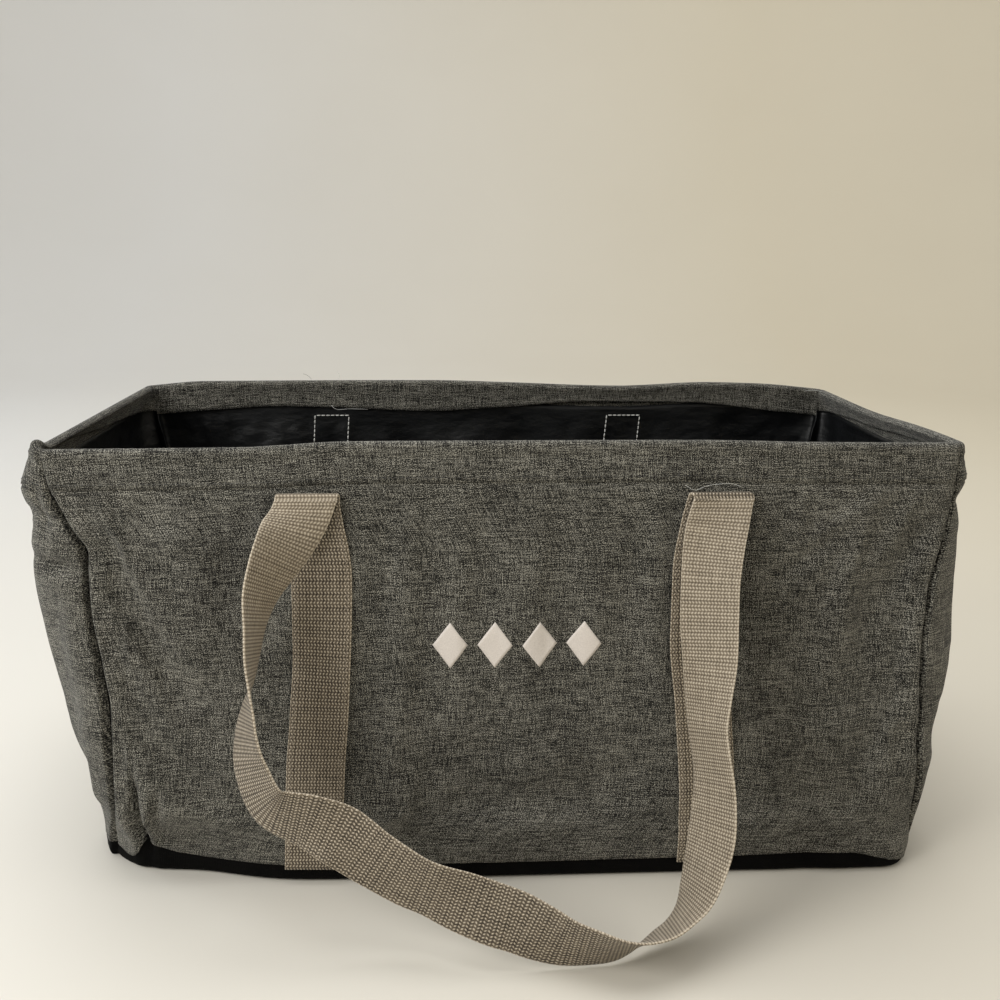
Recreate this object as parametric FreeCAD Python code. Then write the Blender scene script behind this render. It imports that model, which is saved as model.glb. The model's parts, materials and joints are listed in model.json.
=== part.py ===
"""Foldable tote bag: a soft fabric box, held open by a wire in its rim, with two webbing handles.

Units are millimetres. The origin is the centre of the base's underside. X runs along the bag,
-Y is the printed front and +Z is up. The bag stands open, and both handles hang outside it
with their loops resting on the ground.
"""
import FreeCAD, Part
import math
import os

V = FreeCAD.Vector

# Overall size of the open bag
RIM_LENGTH = 559.0
RIM_DEPTH = 254.0
HEIGHT = 286.0

# Rim: the casing is folded over the wire, and hangs down on both sides of it
WIRE_D = 3.0
RIM_CORNER_R = 12.0
CASING_T = 0.8
CASING_CAVITY = 5.0
CASING_DROP = 24.0
FERRULE_X = 112.0
FERRULE_D = 4.4
FERRULE_LENGTH = 22.0
FERRULE_CLEARANCE = 0.05
WIRE_END_GAP = 1.0

# Walls: half length, half depth and corner radius of the outer face, from the foot to the top
WALL_TOP = HEIGHT - 18.0
CASING_ENTRY_Z = HEIGHT - CASING_DROP - 4.0
MID_Z = 200.0
WALL_IN_CASING = 1.9
CASING_HALF = CASING_CAVITY / 2 + CASING_T
WIRE_HALF_X = RIM_LENGTH / 2 - CASING_HALF
WIRE_HALF_Y = RIM_DEPTH / 2 - CASING_HALF
RIM_OUTLINE = (WIRE_HALF_X + WALL_IN_CASING, WIRE_HALF_Y + WALL_IN_CASING, RIM_CORNER_R + WALL_IN_CASING)
STATIONS = [
    (0.0, 269.0, 137.0, 32.0),
    (MID_Z, 285.0, 133.0, 40.0),
    (CASING_ENTRY_Z,) + RIM_OUTLINE,
    (WALL_TOP,) + RIM_OUTLINE,
]
SEAM_STATIONS = [(0.0, 250.0), (MID_Z, 256.0), (CASING_ENTRY_Z, 263.0), (WALL_TOP, 263.0)]
SEAM_GAP = 0.4
WALL_T = 0.8
LINING_T = 0.6
LINING_GAP = 0.2

# Base: a tray of black fabric under the walls, its lining, and a stiff board in a sleeve
BAND_HEIGHT = 14.0
BASE_T = 0.8
LAYER_GAP = 0.2
BOARD_T = 2.0
SLEEVE_T = 0.5
BOARD_EDGE_GAP = 16.5
SLEEVE_GAP = 0.1

# Webbing
WEBBING_W = 37.0
WEBBING_T = 1.6
STRAP_X = 124.0
STRAP_TOP = HEIGHT - 31.0
STITCH_INSET = 3.0
STITCH_W = 0.6
STITCH_T = 0.3

# Box stitches that hold the handle ends, seen on the lining
BOX_STITCH = 28.0
BOX_STITCH_TOP = HEIGHT - CASING_DROP - 2.0

# Loose loop of a handle: a flat band in a plane that leans out from the pivot to the ground.
# The route is in that plane: X along the bag, then the distance down from the pivot.
PIVOT_Y = 136.0
PIVOT_Z = 256.0
LOOP_REACH = 272.9
LOOP_FLOOR_GAP = 0.6
LOOP_ROUTE = [
    (-123, 2), (-134, 30), (-146, 62), (-152, 100), (-155, 135), (-148, 166), (-128, 184),
    (-103, 195), (-70, 212), (-40, 227), (-10, 240), (18, 250), (45, 254), (70, 250), (92, 238),
    (107, 219), (115, 195), (118, 165), (117, 130), (118, 92), (122, 42), (128, 2),
]
LOOP_SECTIONS = 64

# Print on the front: a row of plain diamonds
PRINT_COUNT = 4
PRINT_PITCH = 28.0
PRINT_HALF_W = 11.0
PRINT_HALF_H = 15.0
PRINT_X = 5.0
PRINT_Z = 160.0
PRINT_T = 0.2


def along(stations, z, column):
    """Value of a column of the stations at height z, in straight lines between them."""
    for low, high in zip(stations, stations[1:]):
        if z <= high[0]:
            share = (z - low[0]) / (high[0] - low[0])
            return low[column] + share * (high[column] - low[column])
    return stations[-1][column]


def wall_y(z):
    """Half depth of the wall's outer face at height z."""
    return along(STATIONS, z, 2)


def rounded_rectangle(half_x, half_y, radius, z):
    """Closed wire, anticlockwise from the front edge."""
    flat_x = half_x - radius
    flat_y = half_y - radius
    corners = [(flat_x, -flat_y, -90), (flat_x, flat_y, 0), (-flat_x, flat_y, 90), (-flat_x, -flat_y, 180)]
    arcs = []
    for x, y, start in corners:
        points = []
        for turn in (0, 45, 90):
            angle = math.radians(start + turn)
            points.append(V(x + radius * math.cos(angle), y + radius * math.sin(angle), z))
        arcs.append(Part.Arc(*points).toShape())
    edges = []
    for index, arc in enumerate(arcs):
        previous = arcs[index - 1]
        edges.append(Part.makeLine(previous.Vertexes[-1].Point, arc.Vertexes[0].Point))
        edges.append(arc)
    return Part.Wire(edges)


def wall_section(z, inset):
    """Outline of the bag at height z, moved inwards by inset."""
    half_x, half_y, radius = (along(STATIONS, z, column) for column in (1, 2, 3))
    return rounded_rectangle(half_x - inset, half_y - inset, radius - inset, z)


def heights(bottom, top):
    """The two ends of a wall and the stations between them."""
    return [bottom] + [row[0] for row in STATIONS if bottom < row[0] < top] + [top]


def block(bottom, top, inset):
    """Solid that fills the bag's outline, moved inwards by inset."""
    return Part.makeLoft([wall_section(z, inset) for z in heights(bottom, top)], True, True)


def wall_ring(bottom, top, inset, thickness):
    """All four walls as one ring."""
    return block(bottom, top, inset).cut(block(bottom, top, inset + thickness))


def front_wedge(bottom, top, margin):
    """Everything in front of the middle, between the two front seams."""
    outlines = []
    for z in heights(bottom, top):
        half = along(SEAM_STATIONS, z, 1) + margin
        corners = [V(-half, -RIM_DEPTH, z), V(half, -RIM_DEPTH, z), V(half, 0, z), V(-half, 0, z)]
        outlines.append(Part.makePolygon(corners + corners[:1]))
    return Part.makeLoft(outlines, True, True)


def turned(shape):
    """The same shape turned half round the bag's middle: front becomes back."""
    copy = shape.copy()
    copy.rotate(V(0, 0, 0), V(0, 0, 1), 180)
    return copy


def wall_panels(bottom, top, inset, thickness):
    """Front, back, left and right panels, parted at the corner seams."""
    ring = wall_ring(bottom, top, inset, thickness)
    front = ring.common(front_wedge(bottom, top, 0.0))
    opening = front_wedge(bottom, top, SEAM_GAP)
    sides = ring.cut(opening).cut(turned(opening))
    half = Part.makeBox(RIM_LENGTH, 2 * RIM_DEPTH, HEIGHT, V(-RIM_LENGTH, -RIM_DEPTH, 0))
    left = sides.common(half)
    return {"front": front, "back": turned(front), "left": left, "right": turned(left)}


def base_panel():
    """Tray of black fabric: the bottom and the band that the walls are sewn to."""
    hollow = block(BASE_T, BAND_HEIGHT, BASE_T)
    return block(0.0, BAND_HEIGHT, 0.0).cut(hollow)


def plate(bottom, top, inset):
    """Flat plate with the base's outline, moved inwards by inset."""
    half_x, half_y, radius = STATIONS[0][1:]
    outline = rounded_rectangle(half_x - inset, half_y - inset, radius - inset, bottom)
    return Part.Face(outline).extrude(V(0, 0, top - bottom))


def slab(x, width, inner, outer, bottom, top):
    """Band on the front wall from bottom to top, between two distances outside the wall's face."""
    levels = heights(bottom, top)
    near = [V(x - width / 2, -(wall_y(z) + inner), z) for z in levels]
    far = [V(x - width / 2, -(wall_y(z) + outer), z) for z in reversed(levels)]
    outline = near + far
    return Part.Face(Part.makePolygon(outline + outline[:1])).extrude(V(width, 0, 0))


def sewn_strap(x):
    """One sewn run of a handle, from the base band to the loose loop."""
    return slab(x, WEBBING_W, LAYER_GAP, LAYER_GAP + WEBBING_T, BAND_HEIGHT + LAYER_GAP, STRAP_TOP)


def strap_stitching():
    """Lines of thread inside both edges of the two sewn runs."""
    face = LAYER_GAP + WEBBING_T
    offset = WEBBING_W / 2 - STITCH_INSET
    lines = []
    for strap in (-STRAP_X, STRAP_X):
        for side in (-offset, offset):
            bottom = BAND_HEIGHT + 1.0
            lines.append(slab(strap + side, STITCH_W, face, face + STITCH_T, bottom, STRAP_TOP - 1.0))
    return Part.makeCompound(lines)


def box_stitching():
    """Squares of thread on the front lining, where the handle ends are sewn through."""
    face = -(WALL_T + LINING_GAP + LINING_T + 0.1)
    bottom = BOX_STITCH_TOP - BOX_STITCH
    squares = []
    for strap in (-STRAP_X, STRAP_X):
        outer = slab(strap, BOX_STITCH, face - STITCH_T, face, bottom, BOX_STITCH_TOP)
        inner_width = BOX_STITCH - 2 * STITCH_W
        low = bottom + STITCH_W
        high = BOX_STITCH_TOP - STITCH_W
        squares.append(outer.cut(slab(strap, inner_width, face - 1.0, face + 1.0, low, high)))
    return Part.makeCompound(squares)


def front_print():
    """A row of plain diamonds on the front panel."""
    first = PRINT_X - PRINT_PITCH * (PRINT_COUNT - 1) / 2
    low = PRINT_Z - PRINT_HALF_H
    high = PRINT_Z + PRINT_HALF_H
    band = slab(PRINT_X, PRINT_COUNT * PRINT_PITCH, 0.0, PRINT_T, low, high)
    diamonds = []
    for index in range(PRINT_COUNT):
        x = first + index * PRINT_PITCH
        corners = [
            V(x - PRINT_HALF_W, -RIM_DEPTH, PRINT_Z),
            V(x, -RIM_DEPTH, low),
            V(x + PRINT_HALF_W, -RIM_DEPTH, PRINT_Z),
            V(x, -RIM_DEPTH, high),
        ]
        column = Part.Face(Part.makePolygon(corners + corners[:1])).extrude(V(0, RIM_DEPTH, 0))
        diamonds.append(band.common(column))
    return Part.makeCompound(diamonds)


def casing_profile():
    """Section of the folded casing across the front rail, at X = 0: an arch over the wire."""
    roll_z = HEIGHT - CASING_HALF
    hem_z = HEIGHT - CASING_DROP
    outer = CASING_HALF
    inner = CASING_CAVITY / 2

    def at(across, z):
        return V(0, -WIRE_HALF_Y + across, z)

    edges = [
        Part.makeLine(at(-outer, hem_z), at(-outer, roll_z)),
        Part.Arc(at(-outer, roll_z), at(0, roll_z + outer), at(outer, roll_z)).toShape(),
        Part.makeLine(at(outer, roll_z), at(outer, hem_z)),
        Part.makeLine(at(outer, hem_z), at(inner, hem_z)),
        Part.makeLine(at(inner, hem_z), at(inner, roll_z)),
        Part.Arc(at(inner, roll_z), at(0, roll_z + inner), at(-inner, roll_z)).toShape(),
        Part.makeLine(at(-inner, roll_z), at(-inner, hem_z)),
        Part.makeLine(at(-inner, hem_z), at(-outer, hem_z)),
    ]
    return Part.Face(Part.Wire(edges))


def front_rail():
    """Straight casing rail between the two front corners."""
    half = WIRE_HALF_X - RIM_CORNER_R - SEAM_GAP
    profile = casing_profile()
    profile.translate(V(-half, 0, 0))
    return profile.extrude(V(2 * half, 0, 0))


def left_rail():
    """Left casing rail with both of its corners."""
    centre_x = -(WIRE_HALF_X - RIM_CORNER_R)
    centre_y = WIRE_HALF_Y - RIM_CORNER_R
    profile = casing_profile()
    profile.translate(V(centre_x, 0, 0))
    front_corner = profile.revolve(V(centre_x, -centre_y, 0), V(0, 0, 1), -90)
    turned_profile = profile.copy()
    turned_profile.rotate(V(centre_x, -centre_y, 0), V(0, 0, 1), -90)
    straight = turned_profile.extrude(V(0, 2 * centre_y, 0))
    back_corner = front_corner.mirror(V(0, 0, 0), V(0, 1, 0))
    return front_corner.fuse([straight, back_corner]).removeSplitter()


def wire_frame():
    """Rectangle of spring wire with round corners, its two ends facing inside the ferrule."""
    radius = WIRE_D / 2
    z = HEIGHT - CASING_HALF
    flat_x = WIRE_HALF_X - RIM_CORNER_R
    flat_y = WIRE_HALF_Y - RIM_CORNER_R

    def rod(start, end):
        return Part.makeCylinder(radius, (end - start).Length, start, end - start)

    pieces = [
        rod(V(-flat_x, -WIRE_HALF_Y, z), V(FERRULE_X - WIRE_END_GAP / 2, -WIRE_HALF_Y, z)),
        rod(V(FERRULE_X + WIRE_END_GAP / 2, -WIRE_HALF_Y, z), V(flat_x, -WIRE_HALF_Y, z)),
        rod(V(-flat_x, WIRE_HALF_Y, z), V(flat_x, WIRE_HALF_Y, z)),
        rod(V(-WIRE_HALF_X, -flat_y, z), V(-WIRE_HALF_X, flat_y, z)),
        rod(V(WIRE_HALF_X, -flat_y, z), V(WIRE_HALF_X, flat_y, z)),
    ]
    for side in (-1, 1):
        for end in (-1, 1):
            section = Part.makeCircle(radius, V(side * flat_x, end * WIRE_HALF_Y, z), V(1, 0, 0))
            face = Part.Face(Part.Wire([section]))
            centre = V(side * flat_x, end * flat_y, z)
            pieces.append(face.revolve(centre, V(0, 0, 1), 90 * side * -end))
    return pieces[0].fuse(pieces[1:]).removeSplitter()


def wire_ferrule():
    """Tube crimped over the wire's ends."""
    start = V(FERRULE_X - FERRULE_LENGTH / 2, -WIRE_HALF_Y, HEIGHT - CASING_HALF)
    sleeve = Part.makeCylinder(FERRULE_D / 2, FERRULE_LENGTH, start, V(1, 0, 0))
    bore = Part.makeCylinder(WIRE_D / 2 + FERRULE_CLEARANCE, FERRULE_LENGTH, start, V(1, 0, 0))
    return sleeve.cut(bore)


def hem_stitching():
    """Thread that closes the casing under the wire: one line outside the rim, one inside."""
    bottom = HEIGHT - CASING_DROP + 2.0

    def line(offset):
        """Ring of thread that lies between offset and offset + STITCH_T from the wire's line."""
        rings = []
        for edge in (offset, offset + STITCH_T):
            radius = RIM_CORNER_R + edge
            outline = rounded_rectangle(WIRE_HALF_X + edge, WIRE_HALF_Y + edge, radius, bottom)
            rings.append(Part.Face(outline).extrude(V(0, 0, STITCH_W)))
        return rings[1].cut(rings[0])

    return Part.makeCompound([line(CASING_HALF), line(-CASING_HALF - STITCH_T)])


def base_board_and_sleeve():
    """Stiff board and the fabric cover that closes round it."""
    inset = WALL_T + LINING_GAP + LINING_T + BOARD_EDGE_GAP
    bottom = BASE_T + LINING_T + 2 * LAYER_GAP + LAYER_GAP
    inside = bottom + SLEEVE_T
    board_bottom = inside + SLEEVE_GAP
    board_top = board_bottom + BOARD_T
    top = board_top + SLEEVE_GAP + SLEEVE_T
    cavity = plate(inside, board_top + SLEEVE_GAP, inset + SLEEVE_T)
    sleeve = plate(bottom, top, inset).cut(cavity)
    board = plate(board_bottom, board_top, inset + SLEEVE_T + SLEEVE_GAP)
    return board, sleeve


def loop_edges():
    """Both edges of the loose loop in its own plane, from the route and the webbing's width."""
    route = Part.BSplineCurve()
    route.interpolate([V(x, -down, 0) for x, down in LOOP_ROUTE])
    step = (route.LastParameter - route.FirstParameter) / LOOP_SECTIONS
    left = []
    right = []
    for index in range(LOOP_SECTIONS + 1):
        parameter = route.FirstParameter + index * step
        centre = route.value(parameter)
        ahead = V(*route.tangent(parameter)[0])
        across = V(-ahead.y, ahead.x, 0) * (WEBBING_W / 2)
        left.append(centre + across)
        right.append(centre - across)
    return left, right


def handle_loop():
    """Loose loop of the front handle, a flat band that leans out to the ground."""
    left, right = loop_edges()
    sides = []
    for points in (left, right):
        curve = Part.BSplineCurve()
        curve.interpolate(points)
        sides.append(curve.toShape())
    ends = [Part.makeLine(left[0], right[0]), Part.makeLine(left[-1], right[-1])]
    face = Part.Face(Part.Wire([sides[0], ends[1], sides[1], ends[0]]))
    band = face.extrude(V(0, 0, WEBBING_T))
    band.translate(V(0, 0, -WEBBING_T / 2))
    lean = math.degrees(math.acos((PIVOT_Z - LOOP_FLOOR_GAP) / LOOP_REACH))
    band.rotate(V(0, 0, 0), V(1, 0, 0), 90 - lean)
    band.translate(V(0, -PIVOT_Y, PIVOT_Z))
    return band


def build():
    """Every sub-part by name."""
    parts = {"base_panel": base_panel()}
    lining_bottom = BASE_T + LAYER_GAP
    parts["base_lining"] = plate(lining_bottom, lining_bottom + LINING_T, WALL_T + LINING_GAP)

    panels = wall_panels(BAND_HEIGHT + LAYER_GAP, WALL_TOP, 0.0, WALL_T)
    foot = lining_bottom + LINING_T + LAYER_GAP
    linings = wall_panels(foot, WALL_TOP, WALL_T + LINING_GAP, LINING_T)
    names = {"front": "front_panel", "back": "back_panel", "left": "left_gusset", "right": "right_gusset"}
    for side, name in names.items():
        parts[name] = panels[side]
        parts[side + "_lining"] = linings[side]

    left = sewn_strap(-STRAP_X)
    right = sewn_strap(STRAP_X)
    parts["front_left_strap"] = left
    parts["front_right_strap"] = right
    parts["back_left_strap"] = turned(right)
    parts["back_right_strap"] = turned(left)
    parts["front_strap_stitching"] = strap_stitching()
    parts["back_strap_stitching"] = turned(strap_stitching())
    parts["front_box_stitching"] = box_stitching()
    parts["back_box_stitching"] = turned(box_stitching())
    parts["front_print"] = front_print()

    parts["base_board"], parts["base_board_sleeve"] = base_board_and_sleeve()

    parts["rim_casing_front"] = front_rail()
    parts["rim_casing_back"] = turned(front_rail())
    parts["rim_casing_left"] = left_rail()
    parts["rim_casing_right"] = turned(left_rail())
    parts["wire_frame"] = wire_frame()
    parts["wire_ferrule"] = wire_ferrule()
    parts["hem_stitching"] = hem_stitching()

    parts["front_handle_webbing"] = handle_loop()
    parts["back_handle_webbing"] = turned(handle_loop())
    return parts


os.makedirs("parts", exist_ok=True)
for node, shape in build().items():
    box = shape.BoundBox
    print("%-24s solids %2d valid %s volume %10.1f x %7.1f..%7.1f y %7.1f..%7.1f z %6.1f..%6.1f" % (
        node, len(shape.Solids), shape.isValid(), shape.Volume,
        box.XMin, box.XMax, box.YMin, box.YMax, box.ZMin, box.ZMax))
    shape.exportStep("parts/" + node + ".step")
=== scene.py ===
"""Foldable tote bag: fabric, webbing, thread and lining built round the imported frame.

Shapes are worked out in millimetres, in the frame's axes, and become metres where meshes are made.
"""
import json
import math

import bpy
import numpy as np
from mathutils import Matrix, Vector
from mathutils.bvhtree import BVHTree


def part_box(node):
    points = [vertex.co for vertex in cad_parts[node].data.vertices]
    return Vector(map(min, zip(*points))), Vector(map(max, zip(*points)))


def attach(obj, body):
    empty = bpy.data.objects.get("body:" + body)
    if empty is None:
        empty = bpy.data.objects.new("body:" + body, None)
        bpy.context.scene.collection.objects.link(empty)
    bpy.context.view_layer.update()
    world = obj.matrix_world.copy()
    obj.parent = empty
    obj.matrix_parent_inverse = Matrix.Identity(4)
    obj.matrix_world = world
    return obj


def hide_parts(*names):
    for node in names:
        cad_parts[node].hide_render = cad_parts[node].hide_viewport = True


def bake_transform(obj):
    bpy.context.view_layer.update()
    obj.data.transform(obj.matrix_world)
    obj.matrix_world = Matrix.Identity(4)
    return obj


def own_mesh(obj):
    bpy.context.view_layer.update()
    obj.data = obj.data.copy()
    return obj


MM = 0.001
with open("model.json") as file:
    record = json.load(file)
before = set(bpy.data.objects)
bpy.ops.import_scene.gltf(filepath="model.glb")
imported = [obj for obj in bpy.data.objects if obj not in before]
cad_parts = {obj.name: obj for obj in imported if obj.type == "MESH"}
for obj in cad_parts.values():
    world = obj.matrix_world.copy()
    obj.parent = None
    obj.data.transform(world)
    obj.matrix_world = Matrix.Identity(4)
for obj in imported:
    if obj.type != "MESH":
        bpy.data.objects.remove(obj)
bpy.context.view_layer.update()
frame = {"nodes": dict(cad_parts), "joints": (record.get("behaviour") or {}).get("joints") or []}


def box_mm(name):
    """Lowest and highest corner of a CAD node, in millimetres."""
    return [np.array(corner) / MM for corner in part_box(name)]


def smooth_step(low, high, x):
    """0 below low, 1 above high, and smooth between them."""
    t = np.clip((x - low) / (high - low), 0, 1)
    return t * t * (3 - 2 * t)


def hump(x, width):
    """1 where x is 0, and almost nothing two widths away."""
    return np.exp(-((x / width) ** 2))


def run_along(line):
    """Distance from a line's start to each of its points."""
    return np.concatenate([[0], np.cumsum(np.linalg.norm(np.diff(line, axis=0), axis=1))])


def unit(vectors):
    """Rows of vectors, each made one long."""
    return vectors / np.linalg.norm(vectors, axis=1)[:, None]


# ---------------------------------------------------------------- sizes taken from the frame

FRONT_CASING = box_mm("rim_casing_front")
RIM_TOP = FRONT_CASING[1][2]
CASING_LOW = FRONT_CASING[0][2]
RIM_HALF_Y = -FRONT_CASING[0][1]
CASING_HALF = (FRONT_CASING[1][1] - FRONT_CASING[0][1]) / 2
WIRE_Z = RIM_TOP - CASING_HALF
WIRE_R = (box_mm("wire_frame")[1][2] - box_mm("wire_frame")[0][2]) / 2
WALL_TOP = box_mm("front_panel")[1][2]
BAND_TOP = box_mm("base_panel")[1][2]
STRAP = box_mm("front_left_strap")
STRAP_TOP = STRAP[1][2]
WEBBING_W = STRAP[1][0] - STRAP[0][0]
FERRULE_X = (box_mm("wire_ferrule")[0][0] + box_mm("wire_ferrule")[1][0]) / 2
SLEEVE = box_mm("base_board_sleeve")
PRINT = box_mm("front_print")
BOX_STITCHES = box_mm("back_box_stitching")
HEM_Z = box_mm("hem_stitching")[0][2]
JOINTS = {joint["name"]: joint for joint in frame["joints"]}
PIVOT_Y, PIVOT_Z = (abs(value) / MM for value in JOINTS["front_handle_swing"]["pos_m"][1:])

# ---------------------------------------------------------------- shapes chosen


def smooth_curve(*points):
    """Function that runs smoothly through (place, value) points, and never swings past them."""
    place, value = np.array(points, float).T
    step = np.diff(place)
    slope = np.diff(value) / step
    tangent = np.zeros(len(place))
    before, after = slope[:-1], slope[1:]
    same_way = before * after > 0
    tangent[1:-1][same_way] = 2 * (before * after)[same_way] / (before + after)[same_way]
    tangent[0], tangent[-1] = slope[0], slope[-1]

    def at(x):
        x = np.clip(x, place[0], place[-1])
        i = np.clip(np.searchsorted(place, x) - 1, 0, len(step) - 1)
        t = (x - place[i]) / step[i]
        ends = value[i] * (1 + 2 * t) * (1 - t) ** 2 + value[i + 1] * t**2 * (3 - 2 * t)
        return ends + step[i] * (tangent[i] * t * (1 - t) ** 2 + tangent[i + 1] * t**2 * (t - 1))

    return at


# Half sizes of the bag's outer face by height
LEFT_HALF = smooth_curve(
    (0, 277), (20, 274), (40, 273), (58, 277), (108, 286), (143, 290), (178, 295), (207, 297), (232, 295),
    (262, 293), (275, 289), (286, 285),
)
RIGHT_HALF = smooth_curve(
    (0, 272), (40, 280), (60, 285), (80, 290), (105, 294), (140, 297), (180, 293), (214, 290), (245, 288),
    (262, 287), (275, 285), (286, 282),
)
FRONT_HALF = smooth_curve(
    (0, 143.5), (14, 145), (90, 142), (164, 136), (230, 131), (262, 128), (286, RIM_HALF_Y),
)
BACK_HALF = smooth_curve(
    (0, 141), (14, 142), (90, 140), (164, 136), (230, 131), (262, 128), (286, RIM_HALF_Y),
)
# Corner radius by height, anticlockwise from the front left
CORNERS = [
    smooth_curve((0, 72), (25, 66), (60, 50), (150, 42), (230, 34), (262, 20), (286, 8)),
    smooth_curve((0, 22), (60, 34), (150, 42), (230, 32), (262, 20), (286, 8)),
    smooth_curve((0, 34), (60, 38), (150, 42), (230, 34), (262, 20), (286, 8)),
    smooth_curve((0, 46), (60, 42), (150, 42), (230, 34), (262, 20), (286, 8)),
]
# Distance of the four corner seams from the bag's middle, along X
FRONT_LEFT_SEAM = smooth_curve(
    (0, 266), (25, 262), (54, 252), (124, 250), (191, 256), (220, 256), (238, 264), (260, 274),
    (286, 278),
)
FRONT_RIGHT_SEAM = smooth_curve(
    (0, 273), (49, 272), (96, 267), (160, 265), (199, 268), (226, 274), (249, 278), (286, 278),
)
BACK_SEAM = smooth_curve((0, 258), (120, 264), (200, 271), (240, 276), (262, 278), (286, 278))
# Waves of the rim: how far its top lies above or below its drawn height
FRONT_WAVE = smooth_curve((-280, -2.5), (-163, -1.5), (-95, 2), (109, 2.5), (188, 1), (280, 0.5))
BACK_WAVE = smooth_curve(
    (-280, -2), (-237, 1.5), (-52, 2.5), (6, 1), (105, -2), (178, 1), (222, 0), (280, -5),
)
# Height of the facing's lower edge, on the inside
SIDE_FACING = smooth_curve((-124, 273), (-70, 275), (-40, 274), (0, 271), (56, 268), (124, 263))
BACK_FACING = smooth_curve(
    (-280, 260), (-229, 264), (-174, 267), (-127, 266), (-53, 263), (6, 266), (78, 271), (167, 270),
    (236, 263), (280, 259),
)
# Height of the wall's lower edge on the front, above the black band
FRONT_FOOT = smooth_curve(
    (-268, 12), (-258, 12), (-248, 9), (-242, 14), (-237, 29), (-229, 22), (-215, 17), (-190, 14),
    (-60, 13), (120, 14), (225, 15), (246, 10), (264, 4),
)
# Middle of each sewn strap by height
LEFT_STRAP_X = smooth_curve((0, -126), (82, -122), (110, -119.5), (164, -116), (206, -115), (250, -121))
RIGHT_STRAP_X = smooth_curve((0, 129), (48, 129), (119, 124), (165, 119), (207, 119), (239, 123), (260, 128))

# Folds: place along the panel, height, half width, half length, lean in degrees, how far it stands out
FRONT_FOLDS = [
    (-212, 0, 46, 55, 0, -14), (-238, 46, 2.6, 27, -3, -12), (-247, 38, 5, 30, 2, 3.5),
    (-230, 46, 4, 27, -6, 4.5), (-216, 58, 12, 22, 0, 2), (-190, 232, 10, 75, 86, 3.0),
    (-190, 215, 9, 80, 82, -3.0), (-215, 250, 6, 22, 60, -1.5), (205, 236, 6, 38, -54, 3.6),
    (193, 224, 6, 40, -52, -3.6), (238, 226, 6, 26, -30, 2), (120, 262, 8, 9, 0, -2.5),
    (60, 256, 60, 6, 0, 1.2), (30, 100, 60, 26, 12, 2.2), (-20, 60, 70, 16, -8, -2.0),
    (215, 80, 12, 60, 6, 2.5), (190, 60, 10, 50, 8, -2.2), (-170, 110, 14, 60, -6, 2.0),
    (-60, 190, 60, 14, 10, 1.6), (230, 150, 9, 60, 3, -2.0), (60, 215, 70, 9, -6, -1.4),
]
BACK_FOLDS = [
    (-200, 222, 9, 60, 70, 3), (-180, 205, 8, 60, 66, -3), (210, 228, 8, 40, -60, 3),
    (0, 120, 80, 22, 8, 2.5), (90, 60, 70, 18, -10, -2.5), (-120, 70, 14, 60, 12, 2.5),
    (215, 40, 5, 30, -6, -7), (225, 40, 6, 30, -6, 3),
]
# The same on a gusset, where the place is the distance from its front seam
LEFT_FOLDS = [
    (22, 258, 20, 11, 0, 3.5), (20, 243, 20, 4, 0, -2.0), (12, 250, 3, 14, 24, -3),
    (26, 228, 26, 9, 0, 2.5), (20, 213, 20, 3.8, 8, -6), (20, 203, 22, 7, 5, 1.5),
    (150, 130, 60, 90, 0, -9), (95, 60, 10, 60, 18, 3), (115, 60, 10, 60, 18, -4),
    (210, 200, 30, 8, 8, 4), (200, 214, 40, 3, 8, -4), (22, 40, 6, 40, 6, 2.0),
]
RIGHT_FOLDS = [
    (18, 262, 16, 8, 0, 3), (30, 248, 24, 4, 0, -3), (40, 232, 26, 8, 0, 3), (130, 130, 60, 90, 0, -9),
    (95, 70, 10, 60, -16, 3), (115, 70, 10, 60, -16, -4), (200, 205, 34, 7, -8, 4),
    (190, 218, 40, 3, -8, -3.5),
]

# Loose loop of a handle, in the leaning plane from the pivot to the ground: X, distance down from
# the pivot, distance in front of the plane, and turn of the webbing about its own line in degrees
LOOP_ROUTE = [
    (-122, 1, 0, 0), (-125, 9, 0, 6), (-132.5, 24, 1, 30), (-141, 41, 1, 50), (-148, 58, 0, 67),
    (-151, 76, 0, 81), (-152.5, 94, 0, 88), (-153, 109, 0, 97), (-154.5, 124, 0, 111),
    (-155, 140, 0, 121), (-152, 157, 0, 131), (-141, 178, 0, 139), (-118, 187, 0, 156),
    (-102, 194.5, 0, 172), (-92, 201, 0, 168), (-82, 208, 0, 162), (-62, 220, 1, 156), (-48, 226, 2, 155),
    (-30, 233, 3, 167), (-12, 239.5, 5, 172), (0, 243.5, 6, 168), (13, 249, 8, 160), (27, 254.5, 9, 148),
    (44, 257.5, 11, 135), (57, 258.5, 12, 124), (69, 257, 10, 111), (80, 254, 6, 100), (90, 250, 3, 94),
    (98, 243, 1, 87), (105, 232, 0, 73), (110.5, 217, 0, 64), (115, 200, 0, 59), (117, 184, 0, 61),
    (117.5, 168, 0, 65), (116, 152, 0, 67), (114.5, 136, 0, 65), (115.5, 118, 0, 56), (117, 98, 0, 44),
    (117.5, 75, 0, 36), (119, 50, 0, 33), (122, 28, 0, 22), (126, 11, 0, 7), (129, 1, 0, 0),
]
# Distance from the pivot, down the leaning plane, to the ground
LOOP_REACH = 272.9

# ---------------------------------------------------------------- skin of the bag

PANELS = ("front", "right", "back", "left")
FOLDS = dict(zip(PANELS, (FRONT_FOLDS, RIGHT_FOLDS, BACK_FOLDS, LEFT_FOLDS)))
SEAM_DEPTH = 6.5
SEAM_WIDTH = 1.7
RIM_SEAM_DEPTH = 1.2
CORNER_STEPS = 13
# Shift of the weave from one panel to the next, so that no two panels look alike
WEAVE_SHIFT = 700


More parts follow.
